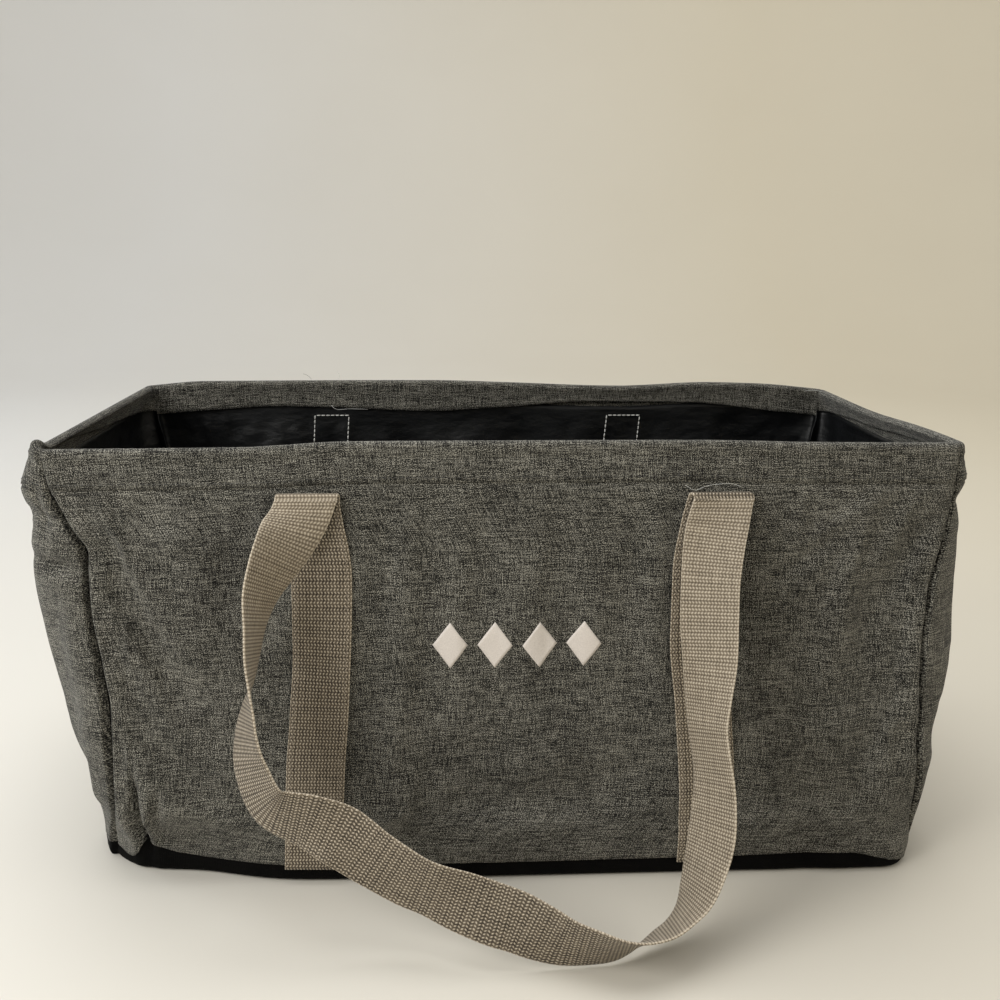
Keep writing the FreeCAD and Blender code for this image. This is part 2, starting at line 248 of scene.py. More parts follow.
def outline(z):
    """Plan of the bag's outer face at height z, anticlockwise from the middle of its left side."""
    left, right, front, back = LEFT_HALF(z), RIGHT_HALF(z), FRONT_HALF(z), BACK_HALF(z)
    corners = [(-left, -front), (right, -front), (right, back), (-left, back)]
    points = [(-left, 0.0)]
    for index, (x, y) in enumerate(corners):
        radius = CORNERS[index](z)
        centre_x = x - math.copysign(radius, x)
        centre_y = y - math.copysign(radius, y)
        for turn in np.radians(180 + 90 * index + np.linspace(0, 90, CORNER_STEPS)):
            points.append((centre_x + radius * math.cos(turn), centre_y + radius * math.sin(turn)))
    points.append((-left, 0.0))
    points = np.array(points)
    return points, run_along(points)


def plan_row(panel, z, shares):
    """A panel's outer face at height z before it folds: points, normals, distances along it, width."""
    points, length = outline(z)
    front_half, back_half = slice(0, 2 * CORNER_STEPS + 1), slice(2 * CORNER_STEPS, None)
    seams = [
        np.interp(-FRONT_LEFT_SEAM(z), points[front_half, 0], length[front_half]),
        np.interp(FRONT_RIGHT_SEAM(z), points[front_half, 0], length[front_half]),
        np.interp(-BACK_SEAM(z), -points[back_half, 0], length[back_half]),
        np.interp(BACK_SEAM(z), -points[back_half, 0], length[back_half]),
    ]
    start = seams[PANELS.index(panel)]
    end = (seams + [length[-1] + seams[0]])[PANELS.index(panel) + 1]
    distance = shares * (end - start)

    def at(arc):
        arc = np.mod(arc, length[-1])
        return np.stack([np.interp(arc, length, points[:, axis]) for axis in (0, 1)], axis=-1)

    tangent = at(start + distance + 4) - at(start + distance - 4)
    normal = unit(np.stack([tangent[:, 1], -tangent[:, 0]], axis=-1))
    return at(start + distance), normal, distance, end - start


def ripple(u, z, seed, size):
    """Gentle unevenness of hung cloth: a few waves with different directions and lengths."""
    waves = np.random.default_rng(seed)
    total = 0
    for length in (150, 95, 70, 48, 33):
        angle, phase = waves.uniform(0, math.pi), waves.uniform(0, 2 * math.pi)
        along = u * math.cos(angle) + z * math.sin(angle)
        total = total + length * np.sin(along * 2 * math.pi / length + phase)
    return size * total / 150


def fold_shape(u, z, width, length, angle):
    """1 in the middle of a leaning fold, and almost nothing two half widths or half lengths away."""
    across = u * math.cos(angle) + z * math.sin(angle)
    along = z * math.cos(angle) - u * math.sin(angle)
    return np.exp(-((across / width) ** 2) - (along / length) ** 2)


def relief(panel, place, z):
    """How far a panel stands out from its plain shape, from its folds and its unevenness."""
    size = 1.2 if panel in ("front", "back") else 0.8
    # The unevenness fades out towards the casing, and towards the ground
    out = ripple(place, z, PANELS.index(panel), size) * smooth_step(262, 225, z) * smooth_step(8, 40, z)
    for at_place, at_z, width, length, lean, height in FOLDS[panel]:
        out = out + height * fold_shape(place - at_place, z - at_z, width, length, math.radians(lean))
    return out


def rim_wave(x, y):
    """How far the rim lies above or below its drawn height at a place in plan."""
    back_share = smooth_step(-RIM_HALF_Y, RIM_HALF_Y, y)
    knuckle = 5 * fold_shape(x + 286, y + 119, 6, 8, 0)
    sag = -2 * smooth_step(270, 281, x) * hump(y - 10, 60)
    return FRONT_WAVE(x) * (1 - back_share) + BACK_WAVE(x) * back_share + knuckle + sag


def skin(panel, heights, shares):
    """Outer face of a panel as a grid of points, the outward normal in plan, and cloth coordinates.

    heights is one value for each row, or a grid where the rows aren't level.
    """
    heights = np.broadcast_to(np.reshape(heights, (len(heights), -1)), (len(heights), len(shares)))
    points = np.zeros(heights.shape + (3,))
    normals = np.zeros_like(points)
    cloth = np.zeros_like(points)
    levels = np.linspace(0, RIM_TOP, 70)
    rows = [plan_row(panel, level, shares) for level in levels]
    for column in range(len(shares)):
        z = heights[:, column]

        def read(values):
            return np.interp(z, levels, values)

        x, y = (read([row[0][column, axis] for row in rows]) for axis in (0, 1))
        normal = np.stack([read([row[1][column, axis] for row in rows]) for axis in (0, 1)], axis=-1)
        distance = read([row[2][column] for row in rows])
        width = read([row[3] for row in rows])
        from_seam = np.minimum(distance, width - distance)
        place = {"front": x, "back": x, "right": distance, "left": width - distance}[panel]
        out = relief(panel, place, z) * smooth_step(RIM_TOP, RIM_TOP - 20, z)
        # The seams are shallower on the casing, and end at the ground
        depth = RIM_SEAM_DEPTH + (SEAM_DEPTH - RIM_SEAM_DEPTH) * smooth_step(CASING_LOW, CASING_LOW - 12, z)
        depth = depth * smooth_step(6, 16, z)
        out -= depth * hump(from_seam, SEAM_WIDTH)
        points[:, column, 0] = x + normal[:, 0] * out
        points[:, column, 1] = y + normal[:, 1] * out
        points[:, column, 2] = z + rim_wave(x, y) * smooth_step(180, RIM_TOP, z)
        normals[:, column, :2] = normal
        cloth[:, column, 0] = distance + WEAVE_SHIFT * PANELS.index(panel)
        cloth[:, column, 1] = z
    return points, normals, cloth


def from_seams(cloth):
    """Distance from the nearer of a panel's two seams, for a grid of cloth coordinates."""
    distance = cloth[..., 0] - cloth[..., :1, 0]
    return np.minimum(distance, distance[..., -1:] - distance)


def seam_shares(count):
    """Shares of a panel's width, closer together beside its two seams."""
    t = np.linspace(0, 1, count)
    return t - 0.13 * np.sin(2 * math.pi * t)


# ---------------------------------------------------------------- meshes


def new_piece(name, points, faces, cloth=None, material=None, smooth=True):
    """Mesh object from points in millimetres, with its cloth coordinates as a point attribute."""
    mesh = bpy.data.meshes.new(name)
    mesh.from_pydata((np.asarray(points).reshape(-1, 3) * MM).tolist(), [], faces)
    if cloth is not None:
        attribute = mesh.attributes.new("cloth", "FLOAT_VECTOR", "POINT")
        attribute.data.foreach_set("vector", np.asarray(cloth, np.float32).ravel())
    mesh.polygons.foreach_set("use_smooth", [smooth] * len(mesh.polygons))
    if material:
        mesh.materials.append(material)
    piece = bpy.data.objects.new(name, mesh)
    bpy.context.scene.collection.objects.link(piece)
    return piece


def grid_faces(rows, columns, closed=False):
    """Quads of a grid of points, its columns closed into a ring if asked."""
    faces = []
    for row in range(rows - 1):
        for column in range(columns if closed else columns - 1):
            after = (column + 1) % columns
            faces.append((row * columns + column, row * columns + after,
                          (row + 1) * columns + after, (row + 1) * columns + column))
    return faces


def tube_faces(rows, columns):
    """Quads of a tube of points, with a face over each end."""
    ends = [tuple(range(columns))[::-1], tuple(range((rows - 1) * columns, rows * columns))]
    return grid_faces(rows, columns, closed=True) + ends


def thicken(piece, thickness, offset=-1.0):
    """Gives a sheet its thickness, behind its face unless told otherwise."""
    modifier = piece.modifiers.new("thickness", "SOLIDIFY")
    modifier.thickness = thickness * MM
    modifier.offset = offset
    return piece


def sheet_piece(name, points, cloth, material, thickness, closed=False):
    """Sheet of cloth from a grid of points."""
    rows, columns = points.shape[:2]
    return thicken(new_piece(name, points, grid_faces(rows, columns, closed), cloth, material), thickness)


def ribbon(name, centres, across, material, width, thickness):
    """Flat webbing along a line, with rounded edges. across points to the first edge at each place."""
    centres, across = np.asarray(centres, float), np.asarray(across, float)
    across = unit(across)
    face = unit(np.cross(unit(np.gradient(centres, axis=0)), across))
    flat = width / 2 - thickness / 2
    section = [(u, 1) for u in np.linspace(flat, -flat, 13)]
    section += [(-flat - thickness * 0.4, 0.62), (-width / 2, 0), (-flat - thickness * 0.4, -0.62)]
    section += [(u, -1) for u in np.linspace(-flat, flat, 13)]
    section += [(flat + thickness * 0.4, -0.62), (width / 2, 0), (flat + thickness * 0.4, 0.62)]
    points = np.zeros((len(centres), len(section), 3))
    cloth = np.zeros_like(points)
    for index, (u, side) in enumerate(section):
        points[:, index] = centres + across * u + face * side * thickness / 2
        cloth[:, index, 0] = u
        cloth[:, index, 1] = run_along(centres)
        cloth[:, index, 2] = side
    return new_piece(name, points, tube_faces(len(centres), len(section)), cloth, material)


def spline(points, count):
    """Smooth line through given points of any dimension, by Catmull-Rom, evenly sampled."""
    points = np.array(points, float)
    padded = np.vstack([2 * points[0] - points[1], points, 2 * points[-1] - points[-2]])
    fine = []
    for i in range(1, len(padded) - 2):
        a, b, c, d = padded[i - 1 : i + 3]
        for t in np.linspace(0, 1, 24, endpoint=False):
            fine.append(0.5 * (2 * b + (c - a) * t + (2 * a - 5 * b + 4 * c - d) * t**2
                               + (3 * b - 3 * c + d - a) * t**3))
    fine.append(points[-1])
    fine = np.array(fine)
    length = run_along(fine[:, :3])
    even = np.linspace(0, length[-1], count)
    return np.stack([np.interp(even, length, fine[:, k]) for k in range(fine.shape[1])], axis=-1)


def stitches(name, lines, material, length=3.0, gap=0.7, width=0.55, height=0.35):
    """Rows of short thread stitches. A line is (points, normals) along a surface."""
    rings = [(-0.5, 0.15, -0.4), (-0.36, 0.8, 0.1), (0, 1.0, 0.6), (0.36, 0.8, 0.1), (0.5, 0.15, -0.4)]
    sides = [(math.cos(a), math.sin(a)) for a in np.radians(np.arange(0, 360, 60))]
    one_stitch = tube_faces(len(rings), len(sides))
    points, faces = [], []
    for line, normals in lines:
        line, normals = np.asarray(line, float), np.asarray(normals, float)
        run = run_along(line)
        for centre in np.arange(length / 2, run[-1] - length / 2, length + gap):
            start, middle, end = (np.array([np.interp(centre + s, run, line[:, k]) for k in range(3)])
                                  for s in (-length / 2, 0, length / 2))
            up = np.array([np.interp(centre, run, normals[:, k]) for k in range(3)])
            ahead = end - start
            side = np.cross(up, ahead)
            side /= np.linalg.norm(side)
            first = len(points)
            for share, fat, rise in rings:
                for c, s in sides:
                    points.append(middle + ahead * share + side * c * fat * width / 2
                                  + up * (rise * height + s * fat * height / 2))
            faces += [tuple(first + corner for corner in face) for face in one_stitch]
    return new_piece(name, points, faces, None, material)


def tube(name, line, material, radius):
    """Thin round thread along a line."""
    line = np.asarray(line, float)
    tangent = np.gradient(line, axis=0)
    side = unit(np.cross(tangent, (0.3, 0.2, 1.0)))
    up = unit(np.cross(tangent, side))
    angles = np.radians(np.arange(0, 360, 60))
    points = np.stack([line + radius * (side * math.cos(a) + up * math.sin(a)) for a in angles], axis=1)
    return new_piece(name, points, tube_faces(len(line), len(angles)), None, material)


def stands_for(piece, slot, body, *nodes):
    """A piece takes the place of CAD nodes and rides on a body; slot is not used."""
    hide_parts(*nodes)
    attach(piece, body)


def refinish(node, material):
    """A CAD node that keeps its own shape gets a detailed material."""
    materials = frame["nodes"][node].data.materials
    materials.clear()
    materials.append(material)


# ---------------------------------------------------------------- finishes


class Finish:
    """A procedural material, with short calls for the nodes that the finishes share."""

    def __init__(self, name, **sockets):
        self.material = bpy.data.materials.new(name)
        self.material.use_nodes = True
        self.tree = self.material.node_tree
        self.shader = self.tree.nodes["Principled BSDF"]
        for socket, value in sockets.items():
            self.shader.inputs[socket.replace("_", " ")].default_value = value

    def node(self, kind, inputs, **settings):
        """New shader node. An input is a number, a colour or another node's socket."""
        made = self.tree.nodes.new("ShaderNode" + kind)
        for key, value in settings.items():
            setattr(made, key, value)
        for key, value in inputs.items():
            if isinstance(value, bpy.types.NodeSocket):
                self.tree.links.new(value, made.inputs[key])
            else:
                made.inputs[key].default_value = value
        return made

    def maths(self, operation, *values):
        """Result of a Math node."""
        return self.node("Math", dict(enumerate(values)), operation=operation).outputs[0]

    def weighted(self, first, *others):
        """Sum of values, each given with its weight."""
        total = self.maths("MULTIPLY", *first)
        for value, weight in others:
            total = self.maths("MULTIPLY_ADD", value, weight, total)
        return total

    def scaled(self, value, low, high, to_low=0.0, to_high=1.0):
        """The value, stretched from one range to another and cut off at its ends."""
        inputs = {"Value": value, "From Min": low, "From Max": high, "To Min": to_low, "To Max": to_high}
        return self.node("MapRange", inputs, clamp=True).outputs[0]

    def mix(self, share, first, second):
        """Colour between two others."""
        return self.node("Mix", {0: share, 6: first, 7: second}, data_type="RGBA").outputs[2]

    def cloth(self):
        """Distance across and along the cloth in millimetres, and its side."""
        place = self.node("Attribute", {}, attribute_name="cloth").outputs["Vector"]
        apart = self.node("SeparateXYZ", {0: place})
        return apart.outputs[0], apart.outputs[1], apart.outputs[2]

    def noise(self, across, along, per_across, per_along, seed=0.0, detail=1.0):
        """Noise whose grains are about 1 / per_across by 1 / per_along millimetres."""
        x = self.maths("MULTIPLY", across, per_across)
        y = self.maths("MULTIPLY", along, per_along)
        vector = self.node("CombineXYZ", {0: x, 1: y, 2: seed}).outputs[0]
        return self.node("TexNoise", {"Vector": vector, "Scale": 1.0, "Detail": detail}).outputs[0]

    def wave(self, value, period, phase=0.0):
        """0 to 1 and back over each period, in millimetres."""
        turn = self.maths("MULTIPLY_ADD", value, 2 * math.pi / period, phase)
        return self.maths("MULTIPLY_ADD", self.maths("SINE", turn), 0.5, 0.5)

    def bump(self, height, distance, strength=1.0, under=None):
        """Normal of a surface with this relief, so many millimetres deep, over another normal if given."""
        inputs = {"Height": height, "Distance": distance * MM, "Strength": strength}
        if under is not None:
            inputs["Normal"] = under
        return self.node("Bump", inputs).outputs[0]

    def finish(self, colour=None, normal=None, roughness=None):
        """Connects the results to the shader, and returns the material."""
        for socket, value in (("Base Color", colour), ("Normal", normal), ("Roughness", roughness)):
            if value is not None:
                self.tree.links.new(value, self.shader.inputs[socket])
        return self.material


def srgb(red, green, blue):
    """Colour from 0 to 255 values as a shader takes it."""
    linear = [((v / 255 + 0.055) / 1.055) ** 2.4 if v > 10 else v / 255 / 12.92 for v in (red, green, blue)]
    return (*linear, 1.0)


def heather_fabric(name, light, middle, dark):
    """Heather polyester: crossed threads of uneven shade, with long slubs both ways."""
    made = Finish(name, Roughness=0.9, Sheen_Weight=0.08, Sheen_Roughness=0.5, Specular_IOR_Level=0.2)
    across, along = made.cloth()[:2]
    warp = made.scaled(made.noise(across, along, 2.2, 0.10, 3.1), 0.3, 0.7)
    weft = made.scaled(made.noise(across, along, 0.08, 2.2, 8.7), 0.3, 0.7)
    light_slub = made.scaled(made.noise(across, along, 0.08, 1.9, 21.0), 0.60, 0.72)
    dark_slub = made.scaled(made.noise(across, along, 0.10, 2.0, 33.0), 0.57, 0.67)
    dark_pick = made.scaled(made.noise(across, along, 2.0, 0.12, 47.0), 0.57, 0.67)
    grain = made.scaled(made.noise(across, along, 1.7, 1.7, 5.0), 0.32, 0.68)
    patch = made.scaled(made.noise(across, along, 0.03, 0.03, 14.0, 2.0), 0.3, 0.7)
    shade = made.weighted(
        (warp, 0.28), (grain, 0.72), (weft, 0.26), (light_slub, 0.18), (dark_slub, -0.16),
        (dark_pick, -0.18), (patch, 0.08),
    )
    darker = made.mix(made.scaled(shade, 0.32, 0.64), dark, middle)
    colour = made.mix(made.scaled(shade, 0.64, 1.0), darker, light)
    weave = made.maths("MULTIPLY", made.wave(across, 1.25), made.wave(along, 1.25))
    height = made.weighted((weave, 0.4), (shade, 0.6))
    return made.finish(colour, made.bump(height, 0.35))


def webbing_fabric(name, light, middle, dark):
    """Woven webbing: rows of small beads that lean by turns, with dark gaps, and a tighter edge."""
    made = Finish(name, Roughness=0.75, Sheen_Weight=0.1, Sheen_Roughness=0.5, Specular_IOR_Level=0.3)
    across, along, side = made.cloth()
    front = made.scaled(side, -0.1, 0.1)
    turn = made.maths("FRACT", made.maths("DIVIDE", along, 4.2))
    zigzag = made.maths("ABSOLUTE", made.maths("SUBTRACT", turn, 0.5))
    column = made.wave(made.maths("MULTIPLY_ADD", zigzag, 1.9, across), 2.06)
    bead = made.wave(along, 2.1)
    beads = made.maths("MULTIPLY", made.scaled(column, 0.1, 0.9), made.scaled(bead, 0.0, 0.8, 0.12, 1.0))
    ridge = made.scaled(bead, 0.0, 0.8, 0.35)
    ribs = made.maths("MULTIPLY", ridge, made.scaled(column, 0.1, 0.9, 0.45))
    height = made.node("Mix", {0: front, 2: ribs, 3: beads}, data_type="FLOAT").outputs[0]
    edge = made.scaled(made.maths("ABSOLUTE", across), WEBBING_W / 2 - 1.3, WEBBING_W / 2 - 0.5)
    uneven = made.noise(across, along, 0.4, 0.07, 2.0, 2.0)
    stripe = made.noise(across, along, 0.01, 0.35, 12.0, 2.0)
    shade = made.weighted((height, 0.75), (uneven, 0.3), (stripe, 0.35), (edge, 0.25))
    darker = made.mix(made.scaled(shade, 0.25, 0.65), dark, middle)
    colour = made.mix(made.scaled(shade, 0.65, 1.15), darker, light)
    return made.finish(colour, made.bump(height, 0.45))


def black_cloth(name, colour, lighter, roughness):
    """Plain-woven black polyester of the base."""
    made = Finish(name, Roughness=roughness, Specular_IOR_Level=0.06)
    across, along = made.cloth()[:2]
    weave = made.maths("MULTIPLY", made.wave(across, 1.1), made.wave(along, 1.1))
    uneven = made.noise(across, along, 0.08, 0.08, 4.0, 3.0)
    shade = made.weighted((uneven, 0.6), (weave, 0.5))
    return made.finish(made.mix(made.scaled(shade, 0.2, 0.9), colour, lighter), made.bump(weave, 0.2))


def coated_cloth(name, colour, lighter):
    """Thin coated lining with a low sheen and fine creases."""
    made = Finish(name, Specular_IOR_Level=0.45)
    across, along = made.cloth()[:2]
    weave = made.maths("MULTIPLY", made.wave(across, 0.9), made.wave(along, 0.9))
    crease = made.noise(across, along, 0.05, 0.09, 6.0, 5.0)
    uneven = made.noise(across, along, 0.02, 0.02, 9.0, 3.0)
    colour = made.mix(made.scaled(uneven, 0.3, 0.7), colour, lighter)
    normal = made.bump(weave, 0.1, 0.5, made.bump(crease, 3.0, 0.5))
    return made.finish(colour, normal, made.scaled(uneven, 0.3, 0.7, 0.38, 0.55))


def object_place(made):
    """Position on the object in millimetres, for finishes with no cloth coordinates."""
    place = made.node("TexCoord", {}).outputs["Object"]
    return made.node("VectorMath", {0: place, 1: (1000, 1000, 1000)}, operation="MULTIPLY").outputs[0]


def thread_finish(name, colour, lighter):
    """Twisted sewing thread."""
    made = Finish(name, Roughness=0.6, Sheen_Weight=0.2)
    apart = made.node("SeparateXYZ", {0: object_place(made)})
    twist = made.maths("ADD", made.maths("ADD", apart.outputs[0], apart.outputs[1]), apart.outputs[2])
    plies = made.wave(twist, 0.8)
    return made.finish(made.mix(plies, colour, lighter), made.bump(plies, 0.15))


def speckled_finish(name, colour, lighter, grain, depth, **sockets):
    """Even material with a fine grain: plastic, metal, ink or paint."""
    made = Finish(name, **sockets)
    inputs = {"Vector": object_place(made), "Scale": 1 / grain, "Detail": 4.0}
    spots = made.node("TexNoise", inputs).outputs[0]
    colour = made.mix(made.scaled(spots, 0.3, 0.7), colour, lighter)
    return made.finish(colour, made.bump(spots, depth))


HEATHER = heather_fabric("heather_polyester", srgb(162, 159, 148), srgb(39, 38, 33), srgb(3, 3, 3))
WEBBING = webbing_fabric("taupe_webbing", srgb(200, 188, 168), srgb(128, 116, 98), srgb(48, 41, 32))
BLACK = black_cloth("black_polyester", srgb(4, 4, 4), srgb(17, 16, 15), 0.85)
LINING = coated_cloth("black_coated_lining", srgb(2, 3, 4), srgb(7, 9, 11))
TAUPE_THREAD = thread_finish("taupe_thread", srgb(120, 108, 92), srgb(176, 163, 144))
GREY_THREAD = thread_finish("grey_thread", srgb(50, 49, 45), srgb(84, 82, 76))
WHITE_THREAD = thread_finish("white_thread", srgb(206, 206, 200), srgb(240, 240, 236))
PRINT_INK = speckled_finish(
    "white_print", srgb(222, 214, 206), srgb(208, 200, 192), 0.8, 0.05, Roughness=0.6,
)
BOARD = speckled_finish("board_plastic", srgb(18, 18, 18), srgb(34, 34, 34), 0.6, 0.05, Roughness=0.5)
STEEL = speckled_finish(
    "spring_steel", srgb(120, 122, 124), srgb(160, 162, 165), 2.0, 0.02, Metallic=1.0, Roughness=0.35,
)
FERRULE = speckled_finish(
    "ferrule_steel", srgb(150, 150, 150), srgb(190, 190, 190), 1.0, 0.03, Metallic=1.0, Roughness=0.4,
)

# ---------------------------------------------------------------- walls

WALL_THICK = 0.8
GRID_COLUMNS = {"front": 84, "right": 46, "back": 84, "left": 46}
SIM_HEIGHTS = np.linspace(BAND_TOP, WALL_TOP, 42)
SIM_FRAMES = 30
SIM_MOST = 6.0


def hang_cloth():
    """How the wall fabric moves as it settles: one ring, held at its foot, its seams and the rim."""
    shares = [np.linspace(0, 1, GRID_COLUMNS[panel] + 1)[:-1] for panel in PANELS]
    grids = [skin(panel, SIM_HEIGHTS, share)[0] for panel, share in zip(PANELS, shares)]
    ring = np.concatenate(grids, axis=1)
    rows, columns = ring.shape[:2]
    cloth = new_piece("hanging_walls", ring, grid_faces(rows, columns, closed=True))
    # Fast at the foot and the casing, firm at the seams, and a little everywhere
    held = np.zeros((rows, columns))
    held[0] = held[-3:] = 1.0
    held = np.maximum(held, smooth_step(235, 262, ring[:, :, 2]))
    seam_columns = np.cumsum([0] + [GRID_COLUMNS[panel] for panel in PANELS[:-1]])
    held[:, seam_columns] = np.maximum(held[:, seam_columns], 0.9)
    held = np.maximum(held, 0.12)
    group = cloth.vertex_groups.new(name="held")
    for index, weight in enumerate(held.ravel()):
        group.add([index], float(weight), "REPLACE")
    modifier = cloth.modifiers.new("cloth", "CLOTH")
    settings = modifier.settings
    settings.quality = 6
    settings.mass = 0.15
    settings.tension_stiffness = settings.compression_stiffness = 30
    settings.shear_stiffness = 12
    settings.bending_stiffness = 1.5
    settings.vertex_group_mass = "held"
    settings.pin_stiffness = 0.35
    settings.shrink_min = settings.shrink_max = -0.022
    modifier.collision_settings.use_collision = False
    scene = bpy.context.scene
    for step in range(1, SIM_FRAMES + 1):
        scene.frame_set(step)
    settled = cloth.evaluated_get(bpy.context.evaluated_depsgraph_get()).to_mesh()
    moved = np.zeros(rows * columns * 3)
    settled.vertices.foreach_get("co", moved)
    scene.frame_set(1)
    bpy.data.objects.remove(cloth)
    change = moved.reshape(rows, columns, 3) / MM - ring
    size = np.linalg.norm(change, axis=2, keepdims=True)
    change *= np.minimum(1, SIM_MOST / np.maximum(size, 1e-6))
    return np.concatenate([change, change[:, :1]], axis=1)


SETTLED = hang_cloth()


def settled_change(panel, heights, shares):
    """Movement of the settled cloth at places on a panel."""
    first = sum(GRID_COLUMNS[name] for name in PANELS[: PANELS.index(panel)])
    row = np.interp(heights, SIM_HEIGHTS, np.arange(len(SIM_HEIGHTS)))
    column = np.broadcast_to(first + shares * GRID_COLUMNS[panel], heights.shape)
    r = np.clip(row.astype(int), 0, len(SIM_HEIGHTS) - 2)
    c = np.clip(column.astype(int), 0, SETTLED.shape[1] - 2)
    down, over = (row - r)[..., None], (column - c)[..., None]
    low = SETTLED[r, c] * (1 - over) + SETTLED[r, c + 1] * over
    high = SETTLED[r + 1, c] * (1 - over) + SETTLED[r + 1, c + 1] * over
    return low * (1 - down) + high * down


def hung_skin(panel, heights, shares):
    """The skin after the cloth has settled."""
    heights = np.broadcast_to(np.reshape(heights, (len(heights), -1)), (len(heights), len(shares)))
    points, normals, cloth = skin(panel, heights, shares)
    if SETTLED is not None:
        # The cloth is tight beside the seams and near the ground
        tight = 50 if panel in ("left", "right") else 16
        free = smooth_step(2, tight, from_seams(cloth)) * smooth_step(30, 60, heights)
        points = points + settled_change(panel, heights, shares) * free[..., None]
    return points, normals, cloth


WALL_ROWS = np.concatenate([np.linspace(0, 0.93, 78), np.linspace(0.94, 1, 6)])
WALL_COLUMNS = {"front": 190, "right": 104, "back": 190, "left": 104}
NAMES = {"front": "front_panel", "back": "back_panel", "left": "left_gusset", "right": "right_gusset"}


def crumples(piece, slot, *nodes):
    """A soft piece of the walls: it stands on the base."""
    stands_for(piece, slot, "base", *nodes)
    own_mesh(piece)


def foot_heights(panel, shares):
    """Height of the wall's lower edge along a panel."""
    plan = skin(panel, [BAND_TOP], shares)
    if panel == "front":
        return FRONT_FOOT(plan[0][0, :, 0])
    middle = 0.8 * np.sin(shares * 9 + PANELS.index(panel)) + BAND_TOP - 1.5
    if panel == "left":
        from_front = (1 - shares) * np.ptp(plan[2][..., 0])
        middle = middle - 8 * hump(from_front - 36, 20)
    left_end = {"right": 5, "left": BAND_TOP - 1, "back": BAND_TOP - 2}[panel]
    right_end = {"left": 12, "right": BAND_TOP - 2, "back": BAND_TOP - 2}[panel]
    share = smooth_step(0, 0.12, shares)
    tail = smooth_step(1, 0.88, shares)
    return middle * share * tail + left_end * (1 - share) + right_end * (1 - tail)


walls = {}
wall_grids = {}
for panel in PANELS:
    shares = seam_shares(WALL_COLUMNS[panel])
    foot = foot_heights(panel, shares)
    heights = foot + (WALL_TOP - foot) * WALL_ROWS[:, None]
    points, normals, cloth = hung_skin(panel, heights, shares)
    # The wall steps back just under the casing, whose edge lies over it
    tucked = 0.9 * smooth_step(CASING_LOW - 2.5, CASING_LOW - 0.5, heights)
    points = points - normals * tucked[..., None]
    wall_grids[panel] = (points, normals, cloth)
    walls[panel] = sheet_piece(NAMES[panel], points, cloth, HEATHER, WALL_THICK)
    crumples(walls[panel], "heather_fabric", NAMES[panel])

# ---------------------------------------------------------------- linings

LINING_THICK = 0.4
LINING_LOW = box_mm("front_lining")[0][2]


def lining_creases(distance, z, seed):
    """Soft vertical and slanting creases that stand in from the wall."""
    creases = np.random.default_rng(100 + seed)
    total = np.zeros(distance.shape)
    for _ in range(14):
        place, height = creases.uniform(0, 560), creases.uniform(30, 240)
        angle, width, length = creases.uniform(-0.7, 0.7), creases.uniform(8, 15), creases.uniform(30, 90)
        depth = creases.uniform(1.5, 3.5)
        total += depth * fold_shape(distance - place, z - height, width, length, angle)
    return total


for panel in PANELS:
    shares = seam_shares(WALL_COLUMNS[panel] * 3 // 4)
    heights = np.linspace(LINING_LOW, WALL_TOP, 70)
    points, normals, cloth = hung_skin(panel, heights, shares)
    z = cloth[..., 1]
    distance = cloth[..., 0] - cloth[:, :1, 0]
    creases = lining_creases(distance, z, PANELS.index(panel)) * smooth_step(WALL_TOP - 12, 230, z)
    gap = WALL_THICK + 1.4 + creases
    gap += 2.5 * hump(from_seams(cloth), 3) + 4.5 * smooth_step(60, 38, z)
    # The long linings hang straighter than their walls, which lean out towards the ground
    if panel in ("front", "back"):
        gap += np.clip(np.abs(points[..., 1]) - 130, 0, None) * normals[..., 1] ** 2
    points = points - normals * gap[..., None]
    lining = sheet_piece(panel + "_lining", points[:, ::-1], cloth[:, ::-1], LINING, LINING_THICK)
    crumples(lining, "coated_lining", panel + "_lining")

for panel in PANELS:
    cloth = wall_grids[panel][2]

# ---------------------------------------------------------------- base

ring_shares = {panel: seam_shares(WALL_COLUMNS[panel] // 2) for panel in PANELS}


def base_ring(z, inset):
    """The bag's outline near the ground, at height z, moved inwards by inset.

    The band's top edge rises where the front's foot is tucked up.
    """
    parts = []
    for panel in PANELS:
        shares = ring_shares[panel][:-1]
        x = skin(panel, [z], shares)[0][0, :, 0]
        rise = 10 * hump(x + 235, 14) * (panel == "front") * smooth_step(12, 24, z)
        points, normals, cloth = skin(panel, [z + rise, z + rise], shares)
        points = points[0] - normals[0] * inset
        points[:, 2] = z + rise
        parts.append(points)
    return np.concatenate(parts)


def disc_rings(ring, z, shares):
    """Rings that close an outline towards its middle."""
    return [np.column_stack([ring[:, :2] * share, np.full(len(ring), z)]) for share in shares]


def ring_piece(name, rings, material, band=0, capped=False):
    """Surface of rings with a face over the last one, and over the first if capped.

    The first band rings use height as their distance along the cloth.
    """
    count = len(rings[0])
    points = np.array(rings)
    cloth = points.copy()
    cloth[:band, :, 0] = run_along(points[0])
    cloth[:band, :, 1] = points[:band, :, 2]
    faces = grid_faces(len(rings), count, closed=True)
    faces.append(tuple(range((len(rings) - 1) * count, len(rings) * count)))
    if capped:
        faces.append(tuple(range(count))[::-1])
    return new_piece(name, points, faces, cloth, material)


